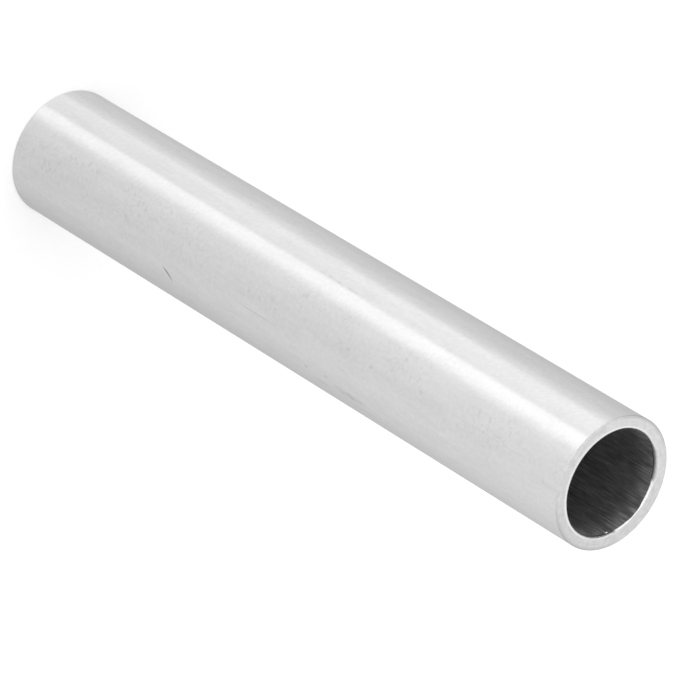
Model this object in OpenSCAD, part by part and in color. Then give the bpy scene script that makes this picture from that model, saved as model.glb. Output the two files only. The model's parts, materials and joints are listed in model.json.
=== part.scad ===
// Round aluminium tube, cut square from extruded stock and deburred at both ends.
// It stands on one end: the origin is the centre of that end, and +Z runs along the tube.

/* [Tube] */
// Outside diameter of the tube
tube_od = 16; // [10:0.5:60]
// Thickness of the wall
wall = 1.6; // [0.8:0.1:4.5]
// Length from one cut end to the other
tube_length = 100; // [5:1:1000]

/* [Cut ends] */
// Width of the 45 degree deburr on the inner edge of the cut face
bore_deburr = 0.1; // [0.02:0.01:0.3]
// Width of the 45 degree break on the outer edge of the cut face
edge_break = 0.15; // [0.02:0.01:0.3]

/* [Hidden] */
$fn = 180;
outer_r = tube_od / 2;
bore_r = outer_r - wall;
face_inner_r = bore_r + bore_deburr;
face_outer_r = outer_r - edge_break;

// Section of the wall in the half plane of radius and height, lower end first:
// bore, deburred edge, cut face, broken edge and outside, then the same upwards.
module wall_section() {
    polygon([
        [bore_r, bore_deburr],
        [face_inner_r, 0],
        [face_outer_r, 0],
        [outer_r, edge_break],
        [outer_r, tube_length - edge_break],
        [face_outer_r, tube_length],
        [face_inner_r, tube_length],
        [bore_r, tube_length - bore_deburr]
    ]);
}

// The tube is one extruded piece, so it is one solid of revolution.
module tube() {
    color("silver")
        rotate_extrude()
            wall_section();
}

tube();
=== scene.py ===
# Looks of the round aluminium tube, in metres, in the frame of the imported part.
# The tube stands on its end, +Z runs along it, and turn 0 is its -Y side, turning towards +X.
import json
import math

import bpy
import numpy as np
from mathutils import Matrix, Vector


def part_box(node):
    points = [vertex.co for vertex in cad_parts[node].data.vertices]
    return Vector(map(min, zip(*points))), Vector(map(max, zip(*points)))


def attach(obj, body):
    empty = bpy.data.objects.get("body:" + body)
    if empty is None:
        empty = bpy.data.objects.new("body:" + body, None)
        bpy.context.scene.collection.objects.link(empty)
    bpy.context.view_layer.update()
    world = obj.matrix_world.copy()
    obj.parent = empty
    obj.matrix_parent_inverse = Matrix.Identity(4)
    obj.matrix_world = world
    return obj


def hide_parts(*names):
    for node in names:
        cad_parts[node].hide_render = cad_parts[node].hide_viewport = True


mm = 0.001
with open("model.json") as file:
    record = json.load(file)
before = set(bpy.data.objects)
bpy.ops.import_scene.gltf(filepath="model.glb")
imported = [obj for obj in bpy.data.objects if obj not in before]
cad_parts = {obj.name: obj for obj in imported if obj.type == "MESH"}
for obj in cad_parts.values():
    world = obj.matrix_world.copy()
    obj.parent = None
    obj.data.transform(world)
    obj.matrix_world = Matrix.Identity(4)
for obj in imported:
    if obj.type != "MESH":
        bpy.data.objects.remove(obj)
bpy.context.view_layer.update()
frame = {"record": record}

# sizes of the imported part: its two round mounts give the radii and the straight lengths between the edges
mounts = {mount["name"]: mount["dims"] for mount in frame["record"]["mounts"]}
tubeLow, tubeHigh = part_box("tube")
tubeLength = tubeHigh.z - tubeLow.z
outerR = mounts["outside"]["r_mm"] * mm
boreR = mounts["bore"]["r_mm"] * mm
edgeBreak = (tubeLength - mounts["outside"]["length_mm"] * mm) / 2
boreDeburr = (tubeLength - mounts["bore"]["length_mm"] * mm) / 2
print(f"frame: tube {2 * outerR / mm:.1f} x {(outerR - boreR) / mm:.1f} x {tubeLength / mm:.0f} mm")

# settings that many nodes share
smooth = {"interpolation_type": "SMOOTHSTEP"}
asColour = {"data_type": "RGBA", "output": 2}
noiseRange = (0.3, 0.7)      # where nearly all of a noise field lies


def linear(hexColour):
    # sRGB hex to linear RGBA
    srgb = np.array([int(hexColour[i:i + 2], 16) for i in (1, 3, 5)]) / 255
    flat = np.where(srgb <= 0.04045, srgb / 12.92, ((srgb + 0.055) / 1.055) ** 2.4)
    return (*flat.tolist(), 1.0)


def addNode(tree, kind, links=None, output=0, **settings):
    # one node: its own settings, then its inputs as values or as other nodes' outputs, by number or name.
    # MapRange goes from 1..2 to 3..4, and Mix takes numbers at 2 and 3 and colours at 6 and 7
    node = tree.nodes.new("ShaderNode" + kind)
    for name, value in settings.items():
        setattr(node, name, value)
    for name, value in (links or {}).items():
        if isinstance(value, bpy.types.NodeSocket):
            tree.links.new(value, node.inputs[name])
        else:
            node.inputs[name].default_value = value
    return node.outputs[output]


def newMaterial(name):
    material = bpy.data.materials.new(name)
    material.use_nodes = True
    tree = material.node_tree
    return material, tree, tree.nodes["Principled BSDF"]


# tube surface

tubeSet = {
    "columns": 720,          # steps round the tube, about 5 to each die line of the bore
    "wallRows": 34,
    "boreRows": 14,
    "faceRows": 8,
    "edgeRows": 5,
    "deburrRows": 6,
    "support": 0.03 * mm,    # first row beside an edge, so that the flat beside it stays flat,
    "supportMost": 0.2,      # and the most of a stretch that it may take
    "dieLines": 150,         # lengthwise lines round the bore,
    "dieSpread": 60,         # how far their count spreads to each side,
    "dieStep": 3,            # and in which steps
    "dieHeight": 0.003 * mm,
    "dieChange": 2.3,        # two sets of lines take turns: half waves along the tube, and where they start
    "dieStart": 0.6,
    "edgeLeast": 0.12,       # share of the edge break that is left at turns 0 and 180,
    "edgeMost": 0.5,         # and at turns 90 and 270
    "seed": 4,
}
nickSet = {
    "arc": 6.81 * mm,        # a short curved nick low on the +X side
    "z": 30.7 * mm,
    "length": 2.2 * mm,
    "width": 0.24 * mm,
    "depth": 0.035 * mm,
    "lean": 41,              # degrees off the tube's length
    "bow": -0.18 * mm,
    "lipHeight": 0.35,       # raised lip beside it: share of the depth,
    "lipPlace": 0.9,         # and shares of the width
    "lipWidth": 0.4,
    "rows": 26,
    "reach": 1.6 * mm,
}
deburrSet = {
    "jitter": 0.006 * mm,
    "waves": np.arange(9, 60, 3),     # whole waves round the upper edge that make it uneven,
    "lowWaves": np.arange(5, 40, 3),  # and round the lower one
    "round": 1.0,            # 0 is a flat cut and 1 a rounded one
    # stretches of the upper end that the blade cut in another way: turn, half width and softness in degrees,
    # added width and depth, and the change in roundness
    "cuts": [
        (169, 33, 8, -0.02 * mm, 0.02 * mm, -1.0),
        (147, 10, 8, 0.03 * mm, 0.10 * mm, 0.0),
        (190, 13, 12, 0.05 * mm, 0.15 * mm, 0.0),
        (-86, 34, 40, 0.10 * mm, 0.20 * mm, 0.0),
        (96, 38, 30, 0.10 * mm, 0.20 * mm, 0.0),
        (118, 16, 16, 0.08 * mm, 0.12 * mm, 0.0),
        (0, 20, 40, -0.05 * mm, -0.05 * mm, 0.0),
    ],
    "wornFrom": (199, 206),  # a stretch rubbed round and dull, and painted with shade: the turns over which it comes in
    "wornTo": (230, 250),    # and goes, and its added width and depth
    "wornWide": 0.40 * mm,
    "wornDeep": 0.36 * mm,
}
crumbSet = {
    "turn": 130,             # a crumb of swarf that sticks to the bore, just under its edge
    "depth": 0.42 * mm,
    "size": 0.16 * mm,
    "height": 0.14 * mm,
    "rows": 9,               # finer rows across it, over this reach from the end,
    "reach": 0.8 * mm,
    "firstRow": 0.1,         # the first at this share of it
}


def smoothStep(x, low, high):
    # 0 below low, 1 above high, and 3 t^2 - 2 t^3 between them
    t = np.clip((x - low) / (high - low), 0, 1)
    return t * t * (3 - 2 * t)


def roundNoise(rng, columns, waves, weakest=0.4):
    # sum of whole waves round the tube with random phases, scaled to -1..1, so it closes on itself
    turn = np.linspace(0, 2 * np.pi, columns, endpoint=False)
    phase = rng.uniform(0, 2 * np.pi, len(waves))
    swing = rng.uniform(weakest, 1.0, len(waves))
    line = (swing[:, None] * np.sin(np.outer(waves, turn) + phase[:, None])).sum(0)
    return line / np.abs(line).max()


def evenRows(count, length):
    # shares 0..1 of a stretch without its end point, with one support row beside each end
    edge = min(tubeSet["support"] / length, tubeSet["supportMost"])
    return np.concatenate([[0.0], np.linspace(edge, 1 - edge, count - 1)])


def tubeGrid():
    # closed wall section, carried round the axis: x = r sin(turn), y = -r cos(turn).
    # The section runs up the bore, over the upper deburr, face and edge, down the outside,
    # and back over the lower edge, face and deburr. r and z are arrays of row by column.
    s, n, d, c = tubeSet, nickSet, deburrSet, crumbSet
    rng = np.random.default_rng(s["seed"])
    columns = s["columns"]
    degrees = np.arange(columns) * 360.0 / columns
    ones = np.ones(columns)

    # deburr: an even light cut, and stretches of the upper end that differ
    wide = boreDeburr + roundNoise(rng, columns, d["waves"]) * d["jitter"]
    deep = wide.copy()
    crown = d["round"] * ones
    for turn, half, soft, addWide, addDeep, roundness in d["cuts"]:
        off = np.abs((degrees - turn + 180) % 360 - 180)
        here = 1 - smoothStep(off, half - soft / 2, half + soft / 2)
        wide += addWide * here
        deep += addDeep * here
        crown += roundness * here
    wornAndShaded = smoothStep(degrees, *d["wornFrom"]) * (1 - smoothStep(degrees, *d["wornTo"]))
    wide += d["wornWide"] * wornAndShaded
    deep += d["wornDeep"] * wornAndShaded
    lowCut = boreDeburr + roundNoise(rng, columns, d["lowWaves"]) * d["jitter"]

    # bore: radius plus die lines, uneven in height and changing along the tube, less the crumb's bump,
    # which is exp(-(distance / size)^2) high
    crumbRows = 1 - np.linspace(c["firstRow"], 1, c["rows"]) * c["reach"] / tubeLength
    boreShare = np.sort(np.concatenate([evenRows(s["boreRows"], tubeLength), crumbRows]))
    waves = s["dieLines"] + np.arange(-s["dieSpread"], s["dieSpread"] + 1, s["dieStep"])
    lineA = roundNoise(rng, columns, waves)
    lineB = roundNoise(rng, columns, waves + 1)
    blend = 0.5 + 0.5 * np.sin(s["dieChange"] * np.pi * boreShare + s["dieStart"])[:, None]
    boreRad = boreR + s["dieHeight"] * (blend * lineA + (1 - blend) * lineB)
    boreZ = lowCut + np.outer(boreShare, tubeLength - deep - lowCut)
    across = np.radians((degrees - c["turn"] + 180) % 360 - 180) * boreR
    crumb = np.exp(-(across ** 2 + (tubeLength - c["depth"] - boreZ) ** 2) / c["size"] ** 2)
    boreRad -= c["height"] * crumb

    # upper end: the deburr blends a straight cut and a quarter round. The outer edge is a quarter round
    # that was broken more on the two sides, so its radius grows with the fourth power of sin(turn)
    cut = np.linspace(0, 1, s["deburrRows"], endpoint=False)[:, None]
    quarter = cut * np.pi / 2
    cutR = boreR + wide * ((1 - crown) * cut + crown * (1 - np.cos(quarter)))
    cutZ = tubeLength - deep + deep * ((1 - crown) * cut + crown * np.sin(quarter))
    sides = np.sin(np.radians(degrees)) ** 4
    edge = edgeBreak * (s["edgeLeast"] + (s["edgeMost"] - s["edgeLeast"]) * sides)
    face = evenRows(s["faceRows"], outerR - boreR)
    faceR = boreR + wide + np.outer(face, outerR - edge - boreR - wide)
    arc = np.linspace(0, np.pi / 2, s["edgeRows"], endpoint=False)
    edgeR = outerR - edge + np.outer(np.sin(arc), edge)
    edgeZ = tubeLength - edge + np.outer(np.cos(arc), edge)

    # outside: even rows with finer ones across the nick. u runs along the nick and v across it: the groove
    # is (1 - u^2) exp(-(v / half width)^2) deep, and a raised lip runs along one side
    straight = tubeLength - 2 * edgeBreak
    wallZ = tubeLength - edgeBreak - straight * evenRows(s["wallRows"], straight)
    fine = np.linspace(n["z"] + n["reach"], n["z"] - n["reach"], n["rows"])
    wallZ = np.sort(np.concatenate([wallZ[np.abs(wallZ - n["z"]) > n["reach"]], fine]))[::-1]
    across = (np.radians(degrees) + np.pi) % (2 * np.pi) - np.pi
    across = across * outerR - n["arc"]
    along = (wallZ - n["z"])[:, None]
    lean = math.radians(n["lean"])
    u = (along * math.cos(lean) + across * math.sin(lean)) / (n["length"] / 2)
    v = across * math.cos(lean) - along * math.sin(lean) - n["bow"] * (1 - u * u)
    taper = np.clip(1 - u * u, 0, 1)
    groove = taper * np.exp(-(v / (n["width"] * 0.5)) ** 2)
    lip = n["lipHeight"] * np.exp(-((v + n["width"] * n["lipPlace"]) / (n["width"] * n["lipWidth"])) ** 2)
    wallRad = outerR - n["depth"] * (groove - taper * lip)
    wallHeight = np.outer(wallZ, ones)  # the first two rows follow the uneven upper edge
    wallHeight[0] = tubeLength - edge
    wallHeight[1] = tubeLength - edge - s["support"]

    # lower end, in the other order: an even quarter round, the flat face and a straight deburr
    flatR = outerR - edgeBreak
    lowEdgeR = np.outer(flatR + edgeBreak * np.cos(arc), ones)
    lowEdgeZ = np.outer(edgeBreak - edgeBreak * np.sin(arc), ones)
    lowFaceR = flatR + np.outer(face, ones) * (boreR + lowCut - flatR)
    lowCutR = boreR + (1 - cut) * lowCut
    lowCutZ = cut * lowCut

    zones = [
        ("bore", boreRad, boreZ),
        ("deburr", cutR, cutZ),
        ("face", faceR, np.full_like(faceR, tubeLength)),
        ("edge", edgeR, edgeZ),
        ("wall", wallRad, wallHeight),
        ("edge", lowEdgeR, lowEdgeZ),
        ("face", lowFaceR, np.zeros_like(lowFaceR)),
        ("deburr", lowCutR, lowCutZ),
    ]
    # marks for the materials: the crumb in the bore, painted shade over the worn stretch of the deburr, and
    # painted shade in the nick's groove
    marksAndShade = [np.zeros_like(r) for _, r, _ in zones]
    marksAndShade[0] = crumb
    # painted shade over the worn stretch, darkest towards the bore
    marksAndShade[1] = wornAndShaded * (1 - cut)
    # painted shade: the nick's groove is coloured darker
    marksAndShade[4] = groove
    return zones, np.vstack(marksAndShade), np.radians(degrees)


# strips of the flattened surface, one to each zone, as (low, high) shares of the map's height
mapStrips = [
    (0.505, 0.80), (0.955, 0.97), (0.81, 0.855), (0.91, 0.925),
    (0.005, 0.495), (0.93, 0.945), (0.86, 0.905), (0.975, 0.99),
]
mapInset = 0.005             # margin at the map's two sides
alongTube = ("bore", "wall")  # zones that lie lengthwise on the map
slotOf = {"wall": 0, "edge": 1, "face": 1, "bore": 2, "deburr": 3}


def surfaceMesh(name, zones, marksAndShade, turn):
    # rows and columns both close on themselves, so the mesh is one ring with no seam and no hole
    radius = np.vstack([r for _, r, _ in zones])
    height = np.vstack([z for _, _, z in zones])
    rows, columns = radius.shape
    points = np.stack([radius * np.sin(turn), -radius * np.cos(turn), height], 2)

    row, column = np.meshgrid(np.arange(rows), np.arange(columns), indexing="ij")
    nextRow, nextColumn = (row + 1) % rows, (column + 1) % columns
    quads = np.stack([row * columns + column, row * columns + nextColumn,
                      nextRow * columns + nextColumn, nextRow * columns + column], 2)

    counts = [len(r) for _, r, _ in zones]
    zoneOf = np.repeat(np.arange(len(zones)), counts)
    share = np.concatenate([np.arange(count) / count for count in counts])
    shareEnd = share + np.repeat([1 / count for count in counts], counts)
    names = [zone for zone, _, _ in zones]
    slots = np.array([slotOf[zone] for zone in names])[zoneOf]
    lengthwise = np.array([zone in alongTube for zone in names])[zoneOf]
    low = np.array([strip[0] for strip in mapStrips])[zoneOf]
    high = np.array([strip[1] for strip in mapStrips])[zoneOf]

    # flat map: share along the section and share round the tube at each quad's four corners
    section = np.stack([share, share, shareEnd, shareEnd], 1)[:, None, :]
    around = np.stack([column, column + 1, column + 1, column], 2) / columns
    section = np.broadcast_to(section, around.shape)
    flip = lengthwise[:, None, None]
    first = np.where(flip, section, around)
    second = np.where(flip, around, section)
    flat = np.stack([mapInset + (1 - 2 * mapInset) * first,
                     low[:, None, None] + (high - low)[:, None, None] * second], 3)

    mesh = bpy.data.meshes.new(name)
    mesh.vertices.add(rows * columns)
    mesh.vertices.foreach_set("co", points.astype(np.float32).ravel())
    mesh.loops.add(quads.size)
    mesh.loops.foreach_set("vertex_index", quads.astype(np.int32).ravel())
    mesh.polygons.add(rows * columns)
    mesh.polygons.foreach_set("loop_start", np.arange(0, quads.size, 4, dtype=np.int32))
    mesh.polygons.foreach_set("material_index", np.repeat(slots, columns).astype(np.int32))
    mesh.update(calc_edges=True)
    mesh.shade_smooth()
    mesh.uv_layers.new(name="OFBake").uv.foreach_set("vector", flat.astype(np.float32).ravel())
    marks = mesh.attributes.new("marksAndShade", "FLOAT", "POINT")
    marks.data.foreach_set("value", marksAndShade.astype(np.float32).ravel())
    print(f"{name}: {rows} rows x {columns} columns, {2 * rows * columns} triangles")
    return mesh


# materials

wallFinish = {
    "light": "#EEEEEE",
    "dark": "#E6E6E6",
    # colour of the stains and pits, and of the painted shade in the nick's groove
    "soilAndShade": "#6E6E6E",
    "roughness": 0.13,
    "roughSwing": 0.03,
    "lineWidth": 0.3 * mm,    # drawing lines across the tube
    "lineLength": 30 * mm,    # and along it
    "lineHeight": 0.002 * mm,
    "rubWidth": 0.25 * mm,    # rubs that run round the tube
    "rubLength": 4 * mm,
    "rubHeight": 0.002 * mm,
    "speck": 0.5 * mm,        # fine specks of the skin
    "smearWidth": 1.2 * mm,   # and faint smears along the tube
    "smearLength": 6 * mm,
    "smearShare": 1.2,        # how much the smears count beside the specks,
    "toneSwing": 0.3,         # and how far both together swing from dark to light
    "pit": 0.6 * mm,          # dark pits: the spread of their noise, the levels over which they come up,
    "pitFrom": (0.54, 0.76),
    "pitDark": 0.115,         # how dark they get,
    "pitPatch": 7 * mm,       # the patches that they gather in, with the levels of those,
    "patchFrom": (0.42, 0.58),
    "pitIn": (-2, 0),         # and the arcs in mm over which they come in
    "pitOut": (2.5, 6),       # and go
    "raggedSize": 0.4 * mm,   # noise that shifts the stains' edges, and how far
    "raggedShift": 0.25 * mm,
    # stains: arc from turn 0, height, half width, half length, all in mm, and darkness
    "stains": [
        (7.75, 56.5, 0.3, 0.38, 0.16), (7.5, 60.2, 0.32, 0.48, 0.13), (9, 58.8, 0.4, 1.8, 0.1),
        (8.3, 64.3, 0.6, 3.4, 0.09), (8.1, 62.1, 0.3, 0.7, 0.09), (8.4, 62.9, 0.3, 0.6, 0.11),
        (8.2, 64.1, 0.32, 0.8, 0.15), (8.5, 64.8, 0.3, 0.6, 0.15), (8.3, 66.1, 0.3, 0.9, 0.1),
        (2.5, 63.6, 0.34, 0.36, 0.12), (2.9, 67.8, 0.24, 0.5, 0.11), (2.4, 76.3, 0.34, 0.4, 0.1),
        (1.5, 92.3, 0.5, 0.6, 0.05), (-0.5, 8.3, 0.25, 0.45, 0.05), (7.5, 29.6, 0.14, 0.18, 0.18),
        (4.8, 47.3, 0.12, 3.8, 0.15), (-3.55, 57, 0.16, 5, 0.05), (-3.6, 53.6, 0.22, 0.8, 0.06),
        (-3.61, 55.2, 0.24, 0.6, 0.09), (-3.55, 56.7, 0.22, 0.9, 0.09), (-3.52, 59.2, 0.22, 1.2, 0.09),
        (-0.7, 22, 0.09, 3.5, 0.05), (2.6, 88, 0.22, 8, 0.05), (9.3, 34, 0.12, 2.5, 0.1),
        (9.9, 41, 0.14, 3, 0.1), (9.6, 27, 0.12, 0.5, 0.16), (9.4, 46, 0.15, 0.6, 0.12),
        (9.6, 66, 0.15, 4, 0.15),
    ],
}
ovalFade = (1.2, 0.2)        # an oval comes up from this share of its half size to that one


def softOvals(tree, place, total, marks):
    # adds a soft oval for each mark: its middle, half width and half length in mm, and its strength
    for across, along, halfWidth, halfLength, strength in marks:
        middle = (across * mm, along * mm, 0)
        size = (1 / (halfWidth * mm), 1 / (halfLength * mm), 0)
        off = addNode(tree, "VectorMath", {0: place, 1: middle}, operation="SUBTRACT")
        off = addNode(tree, "VectorMath", {0: off, 1: size}, operation="MULTIPLY")
        off = addNode(tree, "VectorMath", {0: off}, output="Value", operation="LENGTH")
        oval = addNode(tree, "MapRange", {0: off, 1: ovalFade[0], 2: ovalFade[1], 4: strength}, **smooth)
        total = addNode(tree, "Math", {0: total, 1: oval}, operation="ADD", use_clamp=True)
    return total


def drawnAluminium():
    # mill-finish drawn aluminium: bright grey metal with crisp highlights, fine lines along the tube,
    # faint specks and smears that show in the even greys, pits, a few stains and rubs from handling, and
    # painted shade in the nick's groove
    f = wallFinish
    material, tree, shader = newMaterial("drawn_mill_finish_aluminium")
    coords = addNode(tree, "TexCoord", output="Object")
    fields = {}
    for name, width, length, detail, fineness in (
        ("lines", f["lineWidth"], f["lineLength"], 3.0, 0.6),
        ("rubs", f["rubLength"], f["rubWidth"], 3.0, 0.6),
        ("specks", f["speck"], f["speck"], 2.0, 0.6),
        ("smears", f["smearWidth"], f["smearLength"], 3.0, 0.7),
        ("pits", f["pit"], f["pit"], 1.0, 0.5),
        ("patches", f["pitPatch"], f["pitPatch"], 1.0, 0.5),
    ):
        scale = (1 / width, 1 / width, 1 / length)
        scaled = addNode(tree, "VectorMath", {0: coords, 1: scale}, operation="MULTIPLY")
        fields[name] = addNode(tree, "TexNoise", {"Vector": scaled, "Scale": 1.0, "Detail": detail,
                                                  "Roughness": fineness})

    # stains: soft ovals in arc and height, with ragged edges
    split = addNode(tree, "SeparateXYZ", {0: coords}).node.outputs
    front = addNode(tree, "Math", {0: split[1], 1: -1.0}, operation="MULTIPLY")
    turn = addNode(tree, "Math", {0: split[0], 1: front}, operation="ARCTAN2")
    arc = addNode(tree, "Math", {0: turn, 1: outerR}, operation="MULTIPLY")
    place = addNode(tree, "CombineXYZ", {0: arc, 1: split[2]})
    ragged = addNode(tree, "TexNoise", {"Vector": coords, "Scale": 1 / f["raggedSize"]}, output="Color")
    ragged = addNode(tree, "VectorMath", {0: ragged, 1: (0.5, 0.5, 0.5)}, operation="SUBTRACT")
    place = addNode(tree, "VectorMath", {0: ragged, 1: (f["raggedShift"],) * 3, 2: place},
                    operation="MULTIPLY_ADD")
    # painted shade in the nick's groove, from the mesh, under the stains and pits
    soilAndShade = addNode(tree, "Attribute", output="Fac", attribute_name="marksAndShade")
    soilAndShade = softOvals(tree, place, soilAndShade, f["stains"])

    # pits, in patches between two arcs
    pits = addNode(tree, "MapRange", {0: fields["pits"], 1: f["pitFrom"][0], 2: f["pitFrom"][1],
                                      4: f["pitDark"]})
    comeIn = addNode(tree, "MapRange", {0: arc, 1: f["pitIn"][0] * mm, 2: f["pitIn"][1] * mm})
    goOut = addNode(tree, "MapRange", {0: arc, 1: f["pitOut"][1] * mm, 2: f["pitOut"][0] * mm})
    patch = addNode(tree, "MapRange", {0: fields["patches"], 1: f["patchFrom"][0], 2: f["patchFrom"][1]})
    for share in (comeIn, goOut, patch):
        pits = addNode(tree, "Math", {0: pits, 1: share}, operation="MULTIPLY")
    soilAndShade = addNode(tree, "Math", {0: soilAndShade, 1: pits}, operation="ADD", use_clamp=True)

    tone = addNode(tree, "Math", {0: fields["smears"], 1: f["smearShare"], 2: fields["specks"]},
                   operation="MULTIPLY_ADD")
    middle = 0.5 + 0.5 * f["smearShare"]
    tone = addNode(tree, "MapRange", {0: tone, 1: middle - f["toneSwing"], 2: middle + f["toneSwing"]})
    colour = addNode(tree, "Mix", {0: tone, 6: linear(f["dark"]), 7: linear(f["light"])}, **asColour)
    colour = addNode(tree, "Mix", {0: soilAndShade, 6: colour, 7: linear(f["soilAndShade"])}, **asColour)
    tree.links.new(colour, shader.inputs["Base Color"])
    rough = addNode(tree, "MapRange", {0: fields["lines"], 1: noiseRange[0], 2: noiseRange[1],
                                       3: f["roughness"] - f["roughSwing"],
                                       4: f["roughness"] + f["roughSwing"]})
    tree.links.new(rough, shader.inputs["Roughness"])
    bump = addNode(tree, "Bump", {"Height": fields["lines"], "Distance": f["lineHeight"], "Strength": 1.0})
    bump = addNode(tree, "Bump", {"Height": fields["rubs"], "Distance": f["rubHeight"], "Strength": 1.0,
                                  "Normal": bump})
    tree.links.new(bump, shader.inputs["Normal"])
    shader.inputs["Metallic"].default_value = 1.0
    return material


faceFinish = {
    "light": "#EBEBEB",
    "dark": "#D6D6D6",
    "mottle": 0.8 * mm,       # cloudy patches of the cut metal,
    "lean": 0.1,              # painted shade: a little darker towards +X,
    "toneSwing": 0.2,         # and how far the tone swings from dark to light
    "burnishAndGlint": "#FAFAFA",
    "rimFrom": 0.17 * mm,     # line that is partly burnished and partly a painted highlight, measured from the bore
    "rimTo": 0.38 * mm,
    "rimSoft": 0.05 * mm,
    "rimEnd": (-0.3, 0.7),    # the painted highlight fades out towards +Y, between these shares of the bore's radius
    "edge": "#CCCCCC",
    "edgeWidth": 0.46 * mm,   # painted shade: a dark line along the broken outer edge, on the two sides
    "edgeFrom": (0.56, 0.98),  # it comes in between these shares of the radius, in X,
    "edgeSkew": 0.06,         # and a little sooner on the +X side
    "roughness": 0.3,
    "ringPitch": 0.2 * mm,    # faint rings left by the cutting tool
    "ringLength": 3 * mm,
    "ringShare": 0.4,         # how much of the tone they make, beside the patches
    "ringHeight": 0.001 * mm,
}


def cutAluminium():
    # square-cut aluminium: a pale cloudy flat with faint rings from the tool and painted shade a little
    # darker towards +X, a bright line at the bore's edge that is partly burnished and partly a painted
    # highlight, and a painted dark line of shade where the outer edge was broken
    f = faceFinish
    material, tree, shader = newMaterial("square_cut_aluminium")
    coords = addNode(tree, "TexCoord", output="Object")
    flatPlace = addNode(tree, "VectorMath", {0: coords, 1: (1, 1, 0)}, operation="MULTIPLY")
    radius = addNode(tree, "VectorMath", {0: flatPlace}, output="Value", operation="LENGTH")
    steps = addNode(tree, "Math", {0: radius, 1: 1 / f["ringPitch"]}, operation="MULTIPLY")
    slow = addNode(tree, "VectorMath", {0: flatPlace, 1: (1 / f["ringLength"],) * 3}, operation="MULTIPLY")
    slow = addNode(tree, "SeparateXYZ", {0: slow}).node.outputs
    ringPlace = addNode(tree, "CombineXYZ", {0: steps, 1: slow[0], 2: slow[1]})
    rings = addNode(tree, "TexNoise", {"Vector": ringPlace, "Scale": 1.0, "Detail": 2.0})
    mottle = addNode(tree, "TexNoise", {"Vector": coords, "Scale": 1 / f["mottle"], "Detail": 3.0,
                                        "Roughness": 0.7})
    side = addNode(tree, "SeparateXYZ", {0: coords}).node.outputs
    # painted shade: the tone falls a little towards +X
    tone = addNode(tree, "Math", {0: side[0], 1: -f["lean"] / outerR, 2: mottle}, operation="MULTIPLY_ADD")
    tone = addNode(tree, "Math", {0: rings, 1: f["ringShare"], 2: tone}, operation="MULTIPLY_ADD")
    middle = 0.5 + 0.5 * f["ringShare"]
    tone = addNode(tree, "MapRange", {0: tone, 1: middle - f["toneSwing"], 2: middle + f["toneSwing"]})
    colour = addNode(tree, "Mix", {0: tone, 6: linear(f["dark"]), 7: linear(f["light"])}, **asColour)

    # painted shade along the outer edge, on the two sides
    sideways = addNode(tree, "Math", {0: side[0], 1: f["edgeSkew"] * outerR}, operation="ADD")
    sideways = addNode(tree, "Math", {0: sideways}, operation="ABSOLUTE")
    sideways = addNode(tree, "MapRange", {0: sideways, 1: f["edgeFrom"][0] * outerR,
                                          2: f["edgeFrom"][1] * outerR}, **smooth)
    outside = addNode(tree, "MapRange", {0: radius, 1: outerR - f["edgeWidth"], 2: outerR - edgeBreak},
                      **smooth)
    edgeShade = addNode(tree, "Math", {0: sideways, 1: outside}, operation="MULTIPLY")
    colour = addNode(tree, "Mix", {0: edgeShade, 6: colour, 7: linear(f["edge"])}, **asColour)

    # bright line at the bore: partly burnished, partly a painted highlight that fades out towards +Y
    soft = f["rimSoft"]
    rimFrom = boreR + f["rimFrom"]
    rimTo = boreR + f["rimTo"]
    rimIn = addNode(tree, "MapRange", {0: radius, 1: rimFrom - soft, 2: rimFrom + soft}, **smooth)
    rimOut = addNode(tree, "MapRange", {0: radius, 1: rimTo + soft, 2: rimTo - soft}, **smooth)
    burnishAndGlint = addNode(tree, "Math", {0: rimIn, 1: rimOut}, operation="MULTIPLY")
    fades = addNode(tree, "MapRange", {0: side[1], 1: f["rimEnd"][1] * boreR, 2: f["rimEnd"][0] * boreR},
                    **smooth)
    burnishAndGlint = addNode(tree, "Math", {0: burnishAndGlint, 1: fades}, operation="MULTIPLY")
    colour = addNode(tree, "Mix", {0: burnishAndGlint, 6: colour, 7: linear(f["burnishAndGlint"])}, **asColour)
    tree.links.new(colour, shader.inputs["Base Color"])
    bump = addNode(tree, "Bump", {"Height": rings, "Distance": f["ringHeight"], "Strength": 1.0})
    tree.links.new(bump, shader.inputs["Normal"])
    shader.inputs["Roughness"].default_value = f["roughness"]
    shader.inputs["Metallic"].default_value = 1.0
    return material


boreFinish = {
    "light": "#E0E0E0",
    "dark": "#9A9A9A",
    "scoreAndGlint": "#FFFFFF",
    "mouthRoughness": 0.56,   # handled and dulled at the ends
    "deepRoughness": 0.41,    # drawn smooth further in,
    "innerRise": 0.07,        # and rougher again between these depths
    "innerFrom": 4 * mm,
    "innerTo": 12 * mm,
    "roughSwing": 0.1,
    "lineWidth": 0.18 * mm,   # single die lines
    "lineLength": 2 * mm,
    "bandWidth": 0.5 * mm,    # bands of them
    "bandLength": 8 * mm,
    "bandShare": 0.35,        # how much the bands count beside the lines,
    "streakSwing": 0.16,      # and how far both together swing from dark to light
    "mouth": 3.0 * mm,        # painted light and shade: the streaks are strongest at the ends, where the light comes in, and fade over this depth,
    "deepShare": 0.5,         # to this share
    "lineHeight": 0.003 * mm,
    # bright scores near the upper end, partly painted glints where die lines catch the light: arc from the +Y
    # side, height, half width, half length, all in mm, and strength
    "scoresAndGlints": [
        (-5.6, 97.5, 0.35, 3, 0.15), (-3.91, 99.6, 0.11, 4.5, 0.7), (-1.95, 95, 0.12, 6, 0.2),
        (-1.25, 99.4, 0.3, 1.6, 0.25), (0.11, 90.2, 0.15, 1.2, 0.3), (1.54, 95, 0.1, 6, 0.18),
        (2.35, 99.2, 0.4, 1.2, 0.2), (3.42, 98, 0.09, 3.2, 0.7), (3.42, 95, 0.12, 0.15, 0.4),
    ],
}


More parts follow.
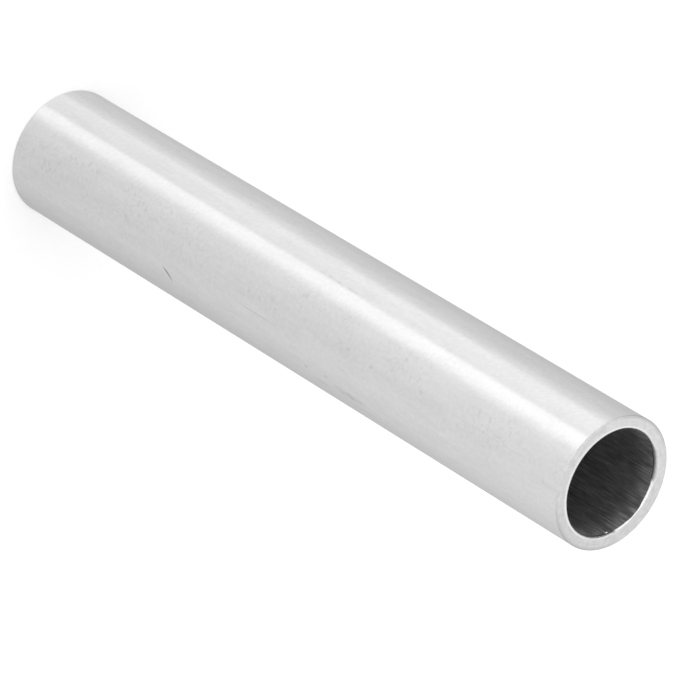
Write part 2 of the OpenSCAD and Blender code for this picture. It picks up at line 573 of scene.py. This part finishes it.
def extrudedBore():
    # as-extruded bore: dull and dry, scored lengthwise by the die; its streaks are painted with more light
    # and shade near the ends, where the light comes in, and bright scores near the upper end are partly
    # painted glints
    f = boreFinish
    material, tree, shader = newMaterial("as_extruded_bore_aluminium")
    coords = addNode(tree, "TexCoord", output="Object")
    fields = []
    for width, length in ((f["lineWidth"], f["lineLength"]), (f["bandWidth"], f["bandLength"])):
        scale = (1 / width, 1 / width, 1 / length)
        scaled = addNode(tree, "VectorMath", {0: coords, 1: scale}, operation="MULTIPLY")
        fields.append(addNode(tree, "TexNoise", {"Vector": scaled, "Scale": 1.0, "Detail": 3.0}))
    lines, bands = fields
    streak = addNode(tree, "Math", {0: bands, 1: f["bandShare"], 2: lines}, operation="MULTIPLY_ADD")
    streak = addNode(tree, "Math", {0: streak, 1: 0.5 + 0.5 * f["bandShare"]}, operation="SUBTRACT")
    split = addNode(tree, "SeparateXYZ", {0: coords}).node.outputs
    half = tubeLength / 2
    off = addNode(tree, "Math", {0: split[2], 1: half}, operation="SUBTRACT")
    off = addNode(tree, "Math", {0: off}, operation="ABSOLUTE")
    # painted light and shade: the streaks swing wider near the ends
    nearEnd = addNode(tree, "MapRange", {0: off, 1: half - f["mouth"], 2: half})
    swing = addNode(tree, "MapRange", {0: nearEnd, 3: f["deepShare"]})
    streak = addNode(tree, "Math", {0: streak, 1: swing}, operation="MULTIPLY")
    streak = addNode(tree, "MapRange", {0: streak, 1: -f["streakSwing"], 2: f["streakSwing"]})
    colour = addNode(tree, "Mix", {0: streak, 6: linear(f["dark"]), 7: linear(f["light"])}, **asColour)

    # scores, partly painted glints, and the crumb that the mesh marks
    across = addNode(tree, "Math", {0: split[0], 1: -1.0}, operation="MULTIPLY")
    turn = addNode(tree, "Math", {0: across, 1: split[1]}, operation="ARCTAN2")
    arc = addNode(tree, "Math", {0: turn, 1: boreR}, operation="MULTIPLY")
    place = addNode(tree, "CombineXYZ", {0: arc, 1: split[2]})
    scoreAndGlint = addNode(tree, "Attribute", output="Fac", attribute_name="marksAndShade")
    scoreAndGlint = softOvals(tree, place, scoreAndGlint, f["scoresAndGlints"])
    colour = addNode(tree, "Mix", {0: scoreAndGlint, 6: colour, 7: linear(f["scoreAndGlint"])}, **asColour)
    tree.links.new(colour, shader.inputs["Base Color"])
    rough = addNode(tree, "MapRange", {0: nearEnd, 3: f["deepRoughness"], 4: f["mouthRoughness"]})
    inner = addNode(tree, "MapRange", {0: off, 1: half - f["innerFrom"], 2: half - f["innerTo"],
                                       4: f["innerRise"]})
    rough = addNode(tree, "Math", {0: rough, 1: inner}, operation="ADD")
    rough = addNode(tree, "Math", {0: streak, 1: f["roughSwing"], 2: rough}, operation="MULTIPLY_ADD")
    tree.links.new(rough, shader.inputs["Roughness"])
    bump = addNode(tree, "Bump", {"Height": lines, "Distance": f["lineHeight"], "Strength": 1.0})
    tree.links.new(bump, shader.inputs["Normal"])
    shader.inputs["Metallic"].default_value = 1.0
    return material


deburrFinish = {
    "light": "#EFEFEF",
    "dark": "#DEDEDE",
    "wornShade": "#6A6A6A",        # painted shade where the edge is worn round, darkest towards the bore
    "roughness": 0.2,
    "roughSwing": 0.06,
    "dullRoughness": 0.55,
    "chatter": 0.3 * mm,
    "toneSwing": 0.15,        # how far the chatter swings from dark to light
}


def scrapedAluminium():
    # freshly scraped aluminium: the deburring blade leaves a narrow bright facet with uneven chatter, and the
    # worn stretch is dull and painted darker as shade
    f = deburrFinish
    material, tree, shader = newMaterial("scraped_aluminium")
    coords = addNode(tree, "TexCoord", output="Object")
    chatter = addNode(tree, "TexNoise", {"Vector": coords, "Scale": 1 / f["chatter"], "Detail": 2.0})
    tone = addNode(tree, "MapRange", {0: chatter, 1: 0.5 - f["toneSwing"], 2: 0.5 + f["toneSwing"]})
    colour = addNode(tree, "Mix", {0: tone, 6: linear(f["dark"]), 7: linear(f["light"])}, **asColour)
    # painted shade over the worn stretch; its dullness in the roughness is real wear
    wornAndShaded = addNode(tree, "Attribute", output="Fac", attribute_name="marksAndShade")
    colour = addNode(tree, "Mix", {0: wornAndShaded, 6: colour, 7: linear(f["wornShade"])}, **asColour)
    tree.links.new(colour, shader.inputs["Base Color"])
    rough = addNode(tree, "MapRange", {0: chatter, 1: noiseRange[0], 2: noiseRange[1],
                                       3: f["roughness"] - f["roughSwing"],
                                       4: f["roughness"] + f["roughSwing"]})
    rough = addNode(tree, "Mix", {0: wornAndShaded, 2: rough, 3: f["dullRoughness"]})
    tree.links.new(rough, shader.inputs["Roughness"])
    shader.inputs["Metallic"].default_value = 1.0
    return material


def buildTube():
    mesh = surfaceMesh("aluminium_tube", *tubeGrid())
    for material in (drawnAluminium(), cutAluminium(), extrudedBore(), scrapedAluminium()):
        mesh.materials.append(material)
    tube = bpy.data.objects.new("aluminium_tube", mesh)
    bpy.context.scene.collection.objects.link(tube)
    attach(tube, "root")
    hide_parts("tube")


# studio: a white floor, and soft light that stands in upright slices round the tube

floorSet = {
    "radius": 3.0,
    "steps": 96,
    "hole": 0.001 * mm,      # at the middle, so that the inner ring is quads too
    "drop": 0.03 * mm,       # just under the cut end
    "colour": "#F2F2F2",
    "glow": 0.28,            # for the camera alone, so that the lit floor reads white beside the shadow
}


def floorMaterial(name, glow):
    # matt white board, with no gloss
    material, tree, shader = newMaterial(name)
    shader.inputs["Base Color"].default_value = linear(floorSet["colour"])
    shader.inputs["Roughness"].default_value = 1.0
    shader.inputs["Specular IOR Level"].default_value = 0.0
    if glow:
        seen = addNode(tree, "LightPath", output="Is Camera Ray")
        lift = addNode(tree, "Math", {0: seen, 1: glow}, operation="MULTIPLY")
        shader.inputs["Emission Color"].default_value = (1, 1, 1, 1)
        tree.links.new(lift, shader.inputs["Emission Strength"])
    return material


def floorRing(name, inner, outer, material):
    # flat ring between two circles, one quad to each step
    steps = floorSet["steps"]
    turn = np.linspace(0, 2 * np.pi, steps, endpoint=False)
    ring = np.stack([np.cos(turn), np.sin(turn), 0 * turn], 1)
    drop = np.array([0, 0, tubeLow.z - floorSet["drop"]])
    points = np.vstack([ring * inner, ring * outer]) + drop
    here = np.arange(steps)
    after = (here + 1) % steps
    quads = np.stack([here, here + steps, after + steps, after], 1)
    mesh = bpy.data.meshes.new(name)
    mesh.from_pydata(points.tolist(), [], quads.tolist())
    mesh.materials.append(material)
    piece = bpy.data.objects.new(name, mesh)
    bpy.context.scene.collection.objects.link(piece)
    return piece


def buildFloor():
    # the metal mirrors the studio's light and not the floor, so the wide ring is hidden from it
    # and blocks no light from below
    middle = (boreR + outerR) / 2
    white = floorMaterial("white_floor", floorSet["glow"])
    floor = floorRing("floor", middle, floorSet["radius"], white)
    floor.visible_glossy = False
    floor.visible_shadow = False
    floorRing("floor_under_bore", floorSet["hole"], middle, floorMaterial("shaded_floor", 0))
    print("floor: made")


studioSet = {
    # upright soft slices by azimuth in degrees: where each starts and how softly, where it ends
    # and how softly, and its light
    "lowBase": 0.5,
    "lowSlices": [
        (-148, 110, 132, 120, 0.24),  # wide fill
        (-103, 22, 19, 69, 0.09),     # its brighter half
        (-88, 12, -51, 130, 0.19),    # broad softbox
        (-47, 7, -21, 22, 0.245),     # key strip in front of it
    ],
    "highBase": 0.3,
    "highSlices": [
        (-72, 20, 42, 36, 1.0),       # large box above the key
    ],
    "boxLow": 0.55,          # share of that box that is left at its lower edge,
    "boxFrom": -10,          # and the elevations over which it grows to the whole
    "boxTo": 5,
    "highFrom": -28,         # elevations between which the low slices give way to the high ones
    "highTo": -6,
    "top": 1.0,              # white ceiling over everything
    "topFrom": 20,
    "topTo": 40,
    "lean": 1.4,             # degrees of azimuth that the low slices lean for each of elevation,
    "leanAt": -43,           # and where they stand true
    "tiltLow": -49,          # the light rises between these elevations,
    "tiltHigh": -36,
    "tiltLeast": -0.067,     # by these shares,
    "tiltMost": 0.13,
    "tiltFrom": -110,        # and the rise comes in between these azimuths
    "tiltTo": -70,
    "closeTilt": 150,        # azimuths from which the rise and the slices fade out, so both sides meet behind
    "closeSlices": 168,
}


def slicedLight(tree, azimuth, slices):
    # sum of the slices, each of which rises over its starting edge and falls over its ending one
    light = 0.0
    for start, startSoft, end, endSoft, gain in slices:
        into = addNode(tree, "MapRange", {0: azimuth, 1: start - startSoft / 2, 2: start + startSoft / 2},
                       **smooth)
        outOf = addNode(tree, "MapRange", {0: azimuth, 1: end + endSoft / 2, 2: end - endSoft / 2}, **smooth)
        both = addNode(tree, "Math", {0: into, 1: outOf}, operation="MULTIPLY")
        light = addNode(tree, "Math", {0: both, 1: gain, 2: light}, operation="MULTIPLY_ADD")
    return light


def buildStudio():
    s = studioSet
    world = bpy.data.worlds.new("studio")
    bpy.context.scene.world = world
    world.use_nodes = True
    tree = world.node_tree
    back = tree.nodes["Background"]
    ray = addNode(tree, "TexCoord", output="Generated")
    split = addNode(tree, "SeparateXYZ", {0: ray}).node.outputs
    front = addNode(tree, "Math", {0: split[1], 1: -1.0}, operation="MULTIPLY")
    bearing = addNode(tree, "Math", {0: split[0], 1: front}, operation="ARCTAN2")
    azimuth = addNode(tree, "Math", {0: bearing}, operation="DEGREES")
    rise = addNode(tree, "Math", {0: split[2]}, operation="ARCSINE")
    elevation = addNode(tree, "Math", {0: rise}, operation="DEGREES")

    # low light, leaning and tilted
    shift = addNode(tree, "MapRange", {0: elevation, 1: -90.0, 2: 0.0, 3: (s["leanAt"] + 90) * s["lean"],
                                       4: s["leanAt"] * s["lean"]})
    leaning = addNode(tree, "Math", {0: azimuth, 1: shift}, operation="ADD")
    leaning = addNode(tree, "Math", {0: leaning, 1: 180.0, 2: -180.0}, operation="WRAP")
    low = slicedLight(tree, leaning, s["lowSlices"])
    behind = addNode(tree, "Math", {0: leaning}, operation="ABSOLUTE")
    closing = addNode(tree, "MapRange", {0: behind, 1: 180.0, 2: s["closeSlices"]}, **smooth)
    low = addNode(tree, "Math", {0: low, 1: closing, 2: s["lowBase"]}, operation="MULTIPLY_ADD")
    rising = addNode(tree, "MapRange", {0: elevation, 1: s["tiltLow"], 2: s["tiltHigh"],
                                        3: s["tiltLeast"], 4: s["tiltMost"]}, **smooth)
    share = addNode(tree, "MapRange", {0: azimuth, 1: s["tiltFrom"], 2: s["tiltTo"]}, **smooth)
    closing = addNode(tree, "MapRange", {0: azimuth, 1: 180.0, 2: s["closeTilt"]}, **smooth)
    share = addNode(tree, "Math", {0: share, 1: closing}, operation="MULTIPLY")
    tilt = addNode(tree, "Math", {0: rising, 1: share, 2: 1.0}, operation="MULTIPLY_ADD")
    low = addNode(tree, "Math", {0: low, 1: tilt}, operation="MULTIPLY")

    # high light and the ceiling over it. The camera sees plain white
    high = slicedLight(tree, azimuth, s["highSlices"])
    box = addNode(tree, "MapRange", {0: elevation, 1: s["boxFrom"], 2: s["boxTo"], 3: s["boxLow"]})
    high = addNode(tree, "Math", {0: high, 1: box, 2: s["highBase"]}, operation="MULTIPLY_ADD")
    above = addNode(tree, "MapRange", {0: elevation, 1: s["highFrom"], 2: s["highTo"]}, **smooth)
    lit = addNode(tree, "Mix", {0: above, 2: low, 3: high})
    overhead = addNode(tree, "MapRange", {0: elevation, 1: s["topFrom"], 2: s["topTo"]}, **smooth)
    lit = addNode(tree, "Mix", {0: overhead, 2: lit, 3: s["top"]})
    seen = addNode(tree, "LightPath", output="Is Camera Ray")
    strength = addNode(tree, "Mix", {0: seen, 2: lit, 3: 1.0})
    back.inputs["Color"].default_value = (1, 1, 1, 1)
    tree.links.new(strength, back.inputs["Strength"])
    print("studio: made")


cameraSet = {
    "lens": 282.4,           # mm
    "sensor": 36,            # mm
    "nearest": 10 * mm,
    "distance": 609.16 * mm,
    "azimuth": -0.269,       # degrees from the -Y side
    "elevation": 42.722,
    "roll": 121.44,          # the tube stands, and the picture shows it lying across
    "aim": (2.104 * mm, 0.0, 54.742 * mm),
}


def buildCamera():
    s = cameraSet
    data = bpy.data.cameras.new("camera")
    data.lens = s["lens"]
    data.sensor_width = s["sensor"]
    data.clip_start = s["nearest"]
    camera = bpy.data.objects.new("camera", data)
    bpy.context.scene.collection.objects.link(camera)
    azimuth, elevation = math.radians(s["azimuth"]), math.radians(s["elevation"])
    turned = (Matrix.Rotation(azimuth, 4, "Z") @ Matrix.Rotation(math.pi / 2 - elevation, 4, "X")
              @ Matrix.Rotation(math.radians(s["roll"]), 4, "Z"))
    back = turned.to_3x3() @ Vector((0, 0, 1))
    camera.matrix_world = Matrix.Translation(Vector(s["aim"]) + back * s["distance"]) @ turned
    bpy.context.scene.camera = camera
    print("camera: set")


bpy.context.scene.view_settings.view_transform = "Standard"
buildCamera()
buildTube()
buildFloor()
buildStudio()
